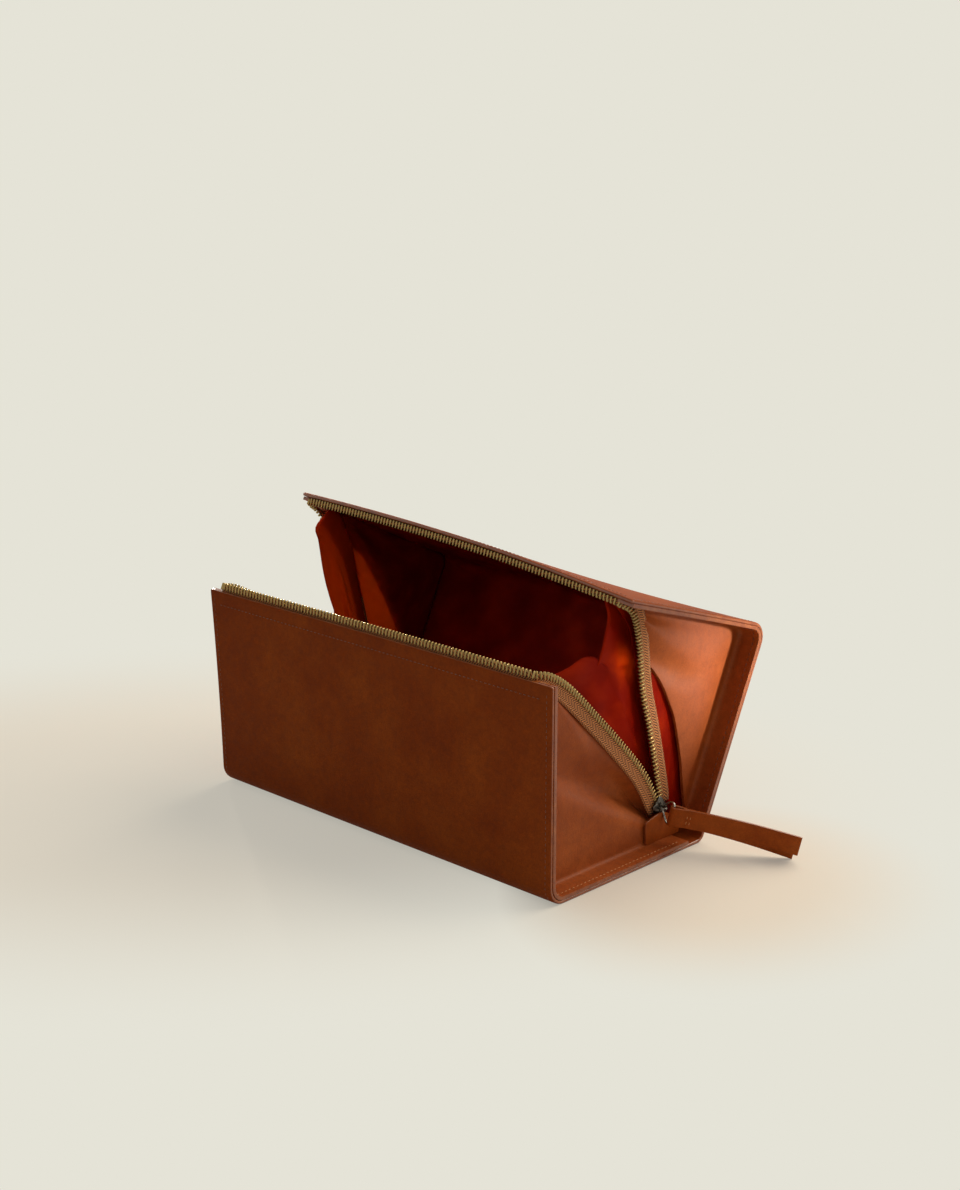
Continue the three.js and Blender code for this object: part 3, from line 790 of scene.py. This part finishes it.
def lining_at(u, v):
    row = round(v * inside_rows)
    x = (u * 2 - 1) * lining_end
    slack = ease(min(u, 1 - u) * 2 * lining_end, 0, 25 * mm)
    if row < len(front_inside):
        spot = front_inside[row]
        ruck = 0.8 + 1.4 * ruck_at(x, spot.y + spot.z, 30 * mm, 3.1)
        inward = Vector((0, 0.7, 0.7)) if 2 < row < len(front_inside) - 2 else Vector()
        return front_half(Vector((x, spot.y, spot.z)) + inward * (max(ruck, 0) * slack * mm))
    spot = back_inside[row - len(front_inside)]
    share = (row - len(front_inside)) / len(back_inside)
    ruck = 1.5 + 3 * ruck_at(x, (spot.y + spot.z) * 0.4, 24 * mm, 8.4)
    inward = Vector((0, -0.7, -0.7)) * math.sin(math.pi * share)
    return open_half(Vector((x, spot.y, spot.z)) + inward * (max(ruck, 0) * slack * mm))


lining = laid_sheet("satin_body_lining", 96, inside_rows, lining_at, [satin],
                    (2 * lining_end, lining_length))
thicken(lining, satin_thickness, 0)
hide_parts("front_base_lining", "back_lid_lining")
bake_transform(lining)


def add_end_satin(name, side, outer, zip_edge, to_case, dent, node):
    foot = even_line(outer, 70)
    edge = even_line(zip_edge, 70)

    def place_at(u, v):
        base = sample(foot, u)
        spot = base.lerp(sample(edge, u), v)
        rest = ease((spot - base).length, 0, stiff_reach)
        ruck = 0.5 * ruck_at(spot.y, spot.z, 14 * mm, 5.5 + side) * mm * math.sin(math.pi * v)
        x = lining_end + min(dent(spot.y / mm, spot.z / mm, v) * rest, 1.2) * mm + min(ruck, 0)
        return to_case(Vector((x * side, spot.y, spot.z)))

    piece = laid_sheet(name, 70, 26, place_at, [satin], (0.2, 0.08))
    if side < 0:
        piece.data.flip_normals()
    thicken(piece, satin_thickness, 0, 0, False)
    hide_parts(node)
    return piece


def run_line(run, away):
    return smooth_line(moved_run(run, away), 2 * mm)


def front_satin_dent(y, z, share):
    return front_dent(y, z, 0)


def back_satin_dent(y, z, share):
    upper = ease(z, 78, 88)
    return 1.2 * ease(share, 0.6, 0.95) * (1 - upper) - 3.2 * ease(share, 0.35, 0.7) * upper


front_zip_edge = list(reversed(run_line(front_run, -3 * mm)))[6::8]
front_zip_edge = smooth_line(side_view([(-60, 120)]) + front_zip_edge + side_view([(50, 6)]), 2 * mm)
back_zip_edge = run_line(back_run, 3 * mm)[3::8]
back_zip_edge = smooth_line(side_view([(-1, 7)]) + back_zip_edge + side_view([(-114, 112)]), 2 * mm)
front_end_foot = front_skin_line(119 * mm, 7 * mm, lining_depth)
back_end_foot = back_skin_line(7 * mm, 5 * mm, lining_depth)
for end_name, side in (("right", 1), ("left", -1)):
    piece = add_end_satin(end_name + "_front_end_satin", side, front_end_foot, front_zip_edge, front_half,
                          front_satin_dent, end_name + "_front_gusset_lining")
    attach(piece, "case_front")
    piece = add_end_satin(end_name + "_back_end_satin", side, back_end_foot, back_zip_edge, open_half,
                          back_satin_dent, end_name + "_back_gusset_lining")
    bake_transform(piece)


def add_web(name, side, plane, flare, far_end, far_gap, hem, billow):
    """The web's hem starts low behind the front run, drops to a tuck, and climbs close
    beside the back run to the lid's corner."""
    near = even_line(side_view([(58, 4)]) + run_line(front_run, -4 * mm)[:-2], 60)
    far = even_line(side_view([(2.5, 1)]) + run_line(back_run + [far_end], far_gap), 60)
    out = Vector((plane * side, 0, 0))
    last = open_half(far[-1] + out)
    top = smooth_line([near[-1]] + side_view(hem) + [Vector((0, last.y, last.z))], 1 * mm)

    def place_at(u, v):
        low = front_half(sample(near, u) + out + Vector((side * flare * ease(u, 0.6, 1), 0, 0)))
        high = open_half(sample(far, u) + out)
        slack = ease((high - low).length, 4 * mm, 45 * mm)
        level = (near[-1] + out).lerp(last, v)
        spot = low.lerp(high, v) + (sample(top, v) + out - level) * u ** 1.6
        ruck = 1.6 * ruck_at(u * 0.09, v * 0.05, 0.013, 2.2 + side) * slack
        spot.x -= side * (billow(u, v, slack) + ruck * ease(v, 0, 0.15) * ease(1 - v, 0, 0.15)) * mm
        return spot

    piece = laid_sheet(name, 64, 60, place_at, [satin], (0.12, 0.06))
    thicken(piece, satin_thickness, 0, 0, False)
    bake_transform(piece)


def right_billow(u, v, slack):
    # Bulged out: its front part turns away from the light, and the part by the lid's
    # teeth catches it
    crest_at = 0.62
    crest = math.sin(math.pi / 2 * v / crest_at) if v < crest_at else 1 - ease(v, crest_at, 1)
    return (1.5 * (1 - ease(v, 0, crest_at)) - 2.0 * crest) * slack


def left_billow(u, v, slack):
    wave = 6.5 * math.sin(math.pi * v) + 3.0 * math.sin(3 * math.pi * v) * ease(u, 0.3, 1)
    return max(wave * slack, -0.5)


right_hem = [(-38, 116.5), (-28, 118.5), (-15.3, 121.9), (-9, 118), (-5.4, 114.6), (-3, 119.5), (1.5, 130),
             (5, 140)]
left_hem = [(-40, 114), (-30, 111.5), (-12, 103), (6, 95), (11.5, 95.5), (8.5, 105), (3.5, 117.5),
            (-1.5, 131), (-6, 146), (-7.5, 156)]
add_web("right_satin_web", 1, 110 * mm, 1 * mm, (-109, 107), 6 * mm, right_hem, right_billow)
add_web("left_satin_web", -1, 114.8 * mm, 6 * mm, (-113, 113), 4 * mm, left_hem, left_billow)


# Zip ends: a small leather tab sewn over the zip's foot at each end, and a brass stop
# closed on the tape just above it.
tab_thickness = 1.4 * mm
tab_plane = 121.5 * mm
tab_rounding = 0.3 * mm
tab_corner = 1.2 * mm
trim_leather = leather_finish("aniline calf, strap and tabs", "#8A3E13", "#954817", "#A1531F", 0.5, 0.1)
tab_outline = [(27.4, 4.5), (27.4, 18.2), (40.5, 20.9), (46.5, 19.2), (57, 8.5), (57, 4.5)]
for end_name, side in (("right", 1), ("left", -1)):
    shape = bmesh.new()
    shape.faces.new([shape.verts.new((tab_plane * side, y * mm, z * mm)) for y, z in tab_outline])
    bevel(shape, list(shape.verts), tab_corner, 4, "VERTICES")
    made = bmesh.ops.extrude_face_region(shape, geom=list(shape.faces))
    move_made(shape, made, (tab_thickness * side, 0, 0))
    bmesh.ops.recalc_face_normals(shape, faces=shape.faces)
    rim = [e for e in shape.edges if abs(e.verts[0].co.x - e.verts[1].co.x) < 1e-7]
    for face in shape.faces:
        face.material_index = 1 if abs(face.normal.x) < 0.5 else 0
    bevel(shape, rim, tab_rounding, 2)
    tab = add_piece(end_name + "_zip_tab_leather", shape, [trim_leather, burnished_edge])
    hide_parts(end_name + "_zip_tab")
    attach(tab, "case_front")
    bpy.data.objects[end_name + "_zip_stop"].material_slots[0].material = tooth_brass


# Stiffening board: pressed fibre, grey-brown, hidden between the leather and the satin.
# The base's and the back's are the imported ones. The front's leans with its panel, and the
# lid's is bowed and twisted with the leather over it.
board_thickness = 1.2 * mm
glue_thickness = 0.3 * mm
lid_board_gap = 10.7 * mm
lid_board_end = 115.5 * mm
board, tree = new_finish("pressed fibre board")
fibre = add_noise(tree, object_place(tree), 700, 5, 0.7)
tone = add_ramp(tree, fibre, (0, "#7C6B52"), (1, "#B7A483"))
add_coat(tree, {"Base Color": tone, "Roughness": 0.9, "Normal": add_bump(tree, fibre, 0.4)})
for node in ("base_board", "back_board"):
    bpy.data.objects[node].material_slots[0].material = board
board_low, board_high = [Vector(corner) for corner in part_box("front_board")]


def front_board_at(u, v):
    return front_half(Vector((board_low.x + (board_high.x - board_low.x) * u, board_low.y,
                              board_low.z + (board_high.z - board_low.z) * v)))


def lid_board_at(u, v):
    spot = lid_corner + lid_line * (fold_radius + v * (lid_reach - lid_board_gap - fold_radius))
    spot -= lid_up * (skin_thickness + glue_thickness)
    return open_half(Vector(((u * 2 - 1) * lid_board_end, spot.y, spot.z)))


for name, node, columns, rows, place_at, body in (
        ("front_board_fibre", "front_board", 30, 16, front_board_at, "case_front"),
        ("lid_board_fibre", "lid_board", 40, 20, lid_board_at, "case_lid")):
    piece = laid_sheet(name, columns, rows, place_at, [board])
    thicken(piece, board_thickness, 0, 0, False)
    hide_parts(node)
    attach(piece, body)


# Slider: die-cast zinc plated dark. Two plates joined at the wide end, their side walls
# turned in round the teeth, and a lug on the outer plate that holds the wire link.
gunmetal = metal_finish("dark plated zinc", "#1E1C1A", "#6E6A64", 0.26, 500)
slide_along = Vector((0, -0.7086153, 0.7055950))
slide_side = Vector((0, -0.7055950, -0.7086153))
slider_rounding = 0.4 * mm
slider_start = 24 * mm
slider_seat = hinge_line + slide_along * slider_start + Vector((chain_plane, 0, 0))
slider_turn = Matrix((slide_along, slide_side, Vector((1, 0, 0)))).transposed().to_4x4()
lug_centre = Vector((122.6, 42.4932, 22.9343)) * mm
lug_radius = 2.15 * mm
lug_wire = 0.75 * mm
plate_outline = [(-6, -2.4), (-4.6, -3.6), (0, -4.1), (4.4, -4.7), (6, -3.4), (5.2, -1.2), (4.4, 0)]
plate_outline += [(x, -y) for x, y in reversed(plate_outline[:-1])]

# Two plates, the side walls between them and the wedge that parts the teeth
shape = bmesh.new()
for low, high in ((-2.9, -1.6), (1.6, 2.9)):
    face = shape.faces.new([shape.verts.new((x * mm, y * mm, low * mm)) for x, y in plate_outline])
    move_made(shape, bmesh.ops.extrude_face_region(shape, geom=[face]), (0, 0, (high - low) * mm))
for size, middle in (((9.4, 0.9, 4.6), (-0.6, -3.7, 0)), ((9.4, 0.9, 4.6), (-0.6, 3.7, 0)),
                     ((2.6, 1.3, 4.6), (3.6, 0, 0))):
    block = bmesh.ops.create_cube(shape, size=1)["verts"]
    bmesh.ops.scale(shape, vec=Vector(size) * mm, verts=block)
    bmesh.ops.translate(shape, vec=Vector(middle) * mm, verts=block)
bmesh.ops.recalc_face_normals(shape, faces=shape.faces)
bevel(shape, list(shape.edges), slider_rounding, 3)
bmesh.ops.transform(shape, matrix=Matrix.Translation(slider_seat) @ slider_turn, verts=shape.verts)

# The lug is a ring standing on the plate, with its hole facing up for the wire
lug = bmesh.new()
ring_section = bmesh.ops.create_circle(lug, segments=10, radius=lug_wire, cap_ends=False)["verts"]
bmesh.ops.rotate(lug, verts=ring_section, matrix=Matrix.Rotation(math.pi / 2, 3, "X"))
bmesh.ops.translate(lug, verts=ring_section, vec=(lug_radius, 0, 0))
bmesh.ops.spin(lug, geom=list(lug.verts) + list(lug.edges), axis=(0, 0, 1), cent=(0, 0, 0), steps=28,
               angle=2 * math.pi, use_merge=True)
bmesh.ops.remove_doubles(lug, verts=lug.verts, dist=1e-6)
bmesh.ops.recalc_face_normals(lug, faces=lug.faces)
bmesh.ops.translate(lug, verts=lug.verts, vec=lug_centre - Vector((0.35 * mm, 0, 0)))
lug_mesh = bpy.data.meshes.new("lug")
lug.to_mesh(lug_mesh)
lug.free()
shape.from_mesh(lug_mesh)
bpy.data.meshes.remove(lug_mesh)
slider = add_piece("zip_slider_body", shape, [gunmetal])
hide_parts("zip_slider")
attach(slider, "slider")


# Pull: a loop of bent steel wire through the lug, and a strap of the same leather put
# round it, doubled, glued and sewn across. Its free end rests on the table.
pull_heading = math.radians(-7)
pull_fall = math.radians(15)
strap_turn = math.radians(36.5)
link_reach = 8 * mm
wire_size = 1.2 * mm
wire_steel = metal_finish("drawn steel wire", "#5E5B57", "#B9B5AE", 0.22, 700)
pull_frame = (Matrix.Translation(lug_centre) @ Matrix.Rotation(pull_heading, 4, "Z")
              @ Matrix.Rotation(pull_fall, 4, "Y"))
strap_frame = pull_frame @ Matrix.Translation((link_reach, 0, 0)) @ Matrix.Rotation(strap_turn, 4, "Z")

half_loop = [(8, 0.01), (8, 4.6), (7.85, 6.2), (7.1, 7.2), (5.6, 7.3), (4.2, 6.6), (2.2, 4.2), (0.7, 2.4),
             (0.05, 1.1), (-0.1, 0.01)]
loop_spots = half_loop + [(x, -z) for x, z in reversed(half_loop[:-1])]
data = bpy.data.curves.new("link_line", "CURVE")
data.dimensions = "3D"
data.bevel_depth = wire_size / 2
data.bevel_resolution = 4
data.resolution_u = 6
line = data.splines.new("NURBS")
line.points.add(len(loop_spots) - 1)
for point, (x, z) in zip(line.points, loop_spots):
    point.co = (x * mm, 0, z * mm, 1)
line.use_cyclic_u = True
line.order_u = 3
bent = bpy.data.objects.new("link_line", data)
bpy.context.collection.objects.link(bent)
wire_mesh = finished_mesh(bent)
bpy.data.objects.remove(bent)
wire_mesh.transform(pull_frame)
shape = bmesh.new()
shape.from_mesh(wire_mesh)
bpy.data.meshes.remove(wire_mesh)
bmesh.ops.remove_doubles(shape, verts=shape.verts, dist=1e-6)
bmesh.ops.recalc_face_normals(shape, faces=shape.faces)
link = add_piece("wire_link", shape, [wire_steel])
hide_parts("pull_link")
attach(link, "link")

strap_width = 12 * mm
strap_length = 72 * mm
strap_leather = 1.4 * mm
strap_step = 2.4 * mm
eye_radius = wire_size / 2 + 0.3 * mm
middle_radius = eye_radius + strap_leather / 2
layer_offset = strap_leather / 2 + 0.12 * mm
eye_end = 3 * mm
glued_from = 7 * mm
strap_belly = 1.6 * mm
strap_gape = 4.2 * mm
strap_sag = 1.2 * mm
strap_drop = 0.8 * mm
strap_rounding = 0.3 * mm


def layer_height(x):
    """How far a layer's middle is from the strap's middle plane: further beside the wire."""
    return layer_offset + (middle_radius - layer_offset) * ease(x, glued_from, eye_end)


def strap_middle(v):
    """The strap's middle line: along one layer, round the wire, and back along the other."""
    bend = math.pi * middle_radius
    run = v * (strap_length * 2 - strap_step + bend)
    if run < strap_length:
        return Vector((strap_length - run, layer_height(strap_length - run), 0))
    run -= strap_length
    if run < bend:
        angle = math.pi / 2 + run / middle_radius
        return Vector((math.cos(angle) * middle_radius, math.sin(angle) * middle_radius, 0))
    run = min(run - bend, strap_length - strap_step)
    return Vector((run, -layer_height(run), 0))


def strap_at(u, v):
    # The upper layer rises towards its free end, and the lower one sags under it
    spot = strap_middle(v)
    share = spot.x / strap_length
    spot.y = strap_belly * math.sin(math.pi * clamp(share)) - spot.y
    spot.z = (0.5 - u) * strap_width + 0.4 * mm * math.sin(math.pi * share) - 0.2 * mm
    if v < 0.5:
        spot.z += strap_gape * max(share, 0)
    else:
        spot.y += strap_sag * ease(share, 0.2, 1)
        spot.z -= strap_drop * ease(share, 0.2, 1)
    return strap_frame @ spot


strap = laid_sheet("pull_strap_leather", 6, 170, strap_at, [trim_leather, burnished_edge],
                   (strap_width, 0.15))
thicken(strap, strap_leather, 1, strap_rounding, even=False, offset=0, segments=2)
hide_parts("pull_strap")
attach(strap, "strap")


# Stitching: waxed thread, 8 stitches to 25 mm, sunk a little into the leather. It runs
# along every edge where a gusset's lip is sewn to the skin, below the mouth, and along
# the outer edge of the zip tape.
stitch_pitch = 3.1 * mm
stitch_length = 2.2 * mm
thread_size = 0.5 * mm


def thread_finish(name, dark, light):
    """Waxed polyester thread, twisted, with a slight shine."""
    finish, tree = new_finish(name)
    twist = add_noise(tree, object_place(tree), 2600, 2)
    tone = add_ramp(tree, twist, (0, dark), (1, light))
    add_coat(tree, {"Base Color": tone, "Roughness": 0.55, "Sheen Weight": 0.2,
                    "Normal": add_bump(tree, twist, 0.5, 0.1 * mm)})
    return finish


tan_thread = thread_finish("waxed thread, tan", "#A8622F", "#E3A468")
# Brown thread on the outer faces. On the lid's inner lips it is painted shade, where the front's inner lips
# have tan thread.
brown_and_shade_thread = thread_finish("waxed thread, brown", "#4A1F0A", "#7A3E1C")


def add_stitches(name, seams, thread):
    """One piece holding a row of stitches for each seam, a list of places at stitch steps."""
    shape = bmesh.new()
    for seam, outwards in seams:
        for a, b in zip(seam, seam[1:]):
            ahead = b - a
            if ahead.length < 0.3 * stitch_pitch:
                continue
            ahead.normalize()
            across = ahead.cross(outwards).normalized()
            turn = Matrix((ahead, across, ahead.cross(across))).transposed().to_4x4()
            size = Matrix.Diagonal((stitch_length, thread_size, thread_size * 0.8, 1))
            bmesh.ops.create_icosphere(shape, subdivisions=1, radius=0.5,
                                       matrix=Matrix.Translation((a + b) / 2) @ turn @ size)
    piece = add_piece(name, shape, [thread])
    return piece


def steps_of(points):
    return even_line(points, max(int(path_length(points) / stitch_pitch), 1))


def seams_along(points, to_case, middle):
    """Both ends' seams along one half's lips, facing away from the half's middle or into it."""
    seams = []
    for x in (-seam_x, seam_x):
        line = [to_case(Vector((x, p.y, p.z))) for p in points]
        for a, b in zip(line, line[1:]):
            facing = a - middle
            facing.x = 0
            seams.append(([a, b], facing.normalized()))
    return seams


# The seams of the lips show on the skin's outer face and on the lip inside
seam_x = end - 3.6 * mm
proud = 0.05 * mm
outside_front = steps_of(front_skin_line(118 * mm, 14 * mm, -proud, 1 * mm))
inside_front = steps_of(front_skin_line(118 * mm, 14 * mm, lip_depth + proud, 1 * mm))
outside_back = steps_of(back_skin_line(14 * mm, 4 * mm, -proud, 1 * mm))
inside_back = steps_of(back_skin_line(14 * mm, 4 * mm, lip_depth + proud, 1 * mm))
front_middle = Vector((0, -10, 55)) * mm
back_middle = Vector((0, 45, 95)) * mm

# The seams below the mouth run from end to end
top_seam_end = 127 * mm
top_seam_proud = 0.08 * mm
seam_height = front_height - 8 * mm
front_top = [Vector((x, front_face - top_seam_proud, seam_height)) for x in (-top_seam_end, top_seam_end)]
front_top = even_line(front_top, 82)
front_top = [front_half(Vector((p.x, p.y - swell_at(p.x, p.z), p.z))) for p in front_top]
seams = seams_along(outside_front, front_half, front_middle)
seams.append((front_top, Vector((0, -1, 0))))
stitching = add_stitches("front_half_stitching", seams, brown_and_shade_thread)
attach(stitching, "case_front")
seams = seams_along(inside_front, front_half, front_middle)
stitching = add_stitches("front_lip_stitching", seams, tan_thread)
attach(stitching, "case_front")

lid_seam = lid_edge - lid_line * 7 * mm
lid_top = [open_half(Vector((x * mm, lid_seam.y, lid_seam.z + top_seam_proud)))
           for x in range(-127, 128, 3)]
# The lid's inner lip seams take the brown thread as painted shade.
seams = seams_along(outside_back, open_half, back_middle) + seams_along(inside_back, open_half, back_middle)
seams.append((lid_top, Vector((0, 0, 1))))
stitching = add_stitches("lid_half_stitching", seams, brown_and_shade_thread)
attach(stitching, "case_lid")

# The tape's seams are 1.4 mm in from its outer edge
seam_inset = 1.4 * mm
tape_proud = 0.45 * mm
for name, line, frames, width, to_case, body in (
        ("front_tape_stitching", front_line, front_frames, front_tape, front_half, "case_front"),
        ("lid_tape_stitching", lid_teeth_line, lid_frames, lid_tape, open_half, "case_lid")):
    seams = []
    reach = width - seam_inset
    for i in range(1, len(line) - 2):
        ahead, away, out = frames[i]
        too_high = body == "case_lid" and (line[i] + away * reach - lid_edge).dot(lid_up) > -4 * mm
        if abs(out.x) < 0.9 or too_high:
            continue
        a = to_case(line[i] + away * reach + out * tape_proud)
        b = to_case(line[i + 1] + frames[i + 1][1] * reach + frames[i + 1][2] * tape_proud)
        seams.append(([a, b], (to_case(line[i] + out) - to_case(line[i])).normalized()))
    stitching = add_stitches(name, seams, tan_thread)
    join_halves(stitching, body)

# Two rows of two stitches across the strap, just past the wire
seams = []
strap_out = (strap_frame.to_3x3() @ Vector((0, -1, 0))).normalized()
half_stitch = 1.4
for x in (8.2, 10.0):
    y = strap_belly * math.sin(math.pi * x * mm / strap_length) - layer_offset - strap_leather / 2
    for z in (-1.9, 1.6):
        a = strap_frame @ Vector((x * mm, y, (z - half_stitch) * mm))
        b = strap_frame @ Vector((x * mm, y, (z + half_stitch) * mm))
        seams.append(([a, b], strap_out))
stitching = add_stitches("strap_stitching", seams, tan_thread)
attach(stitching, "strap")
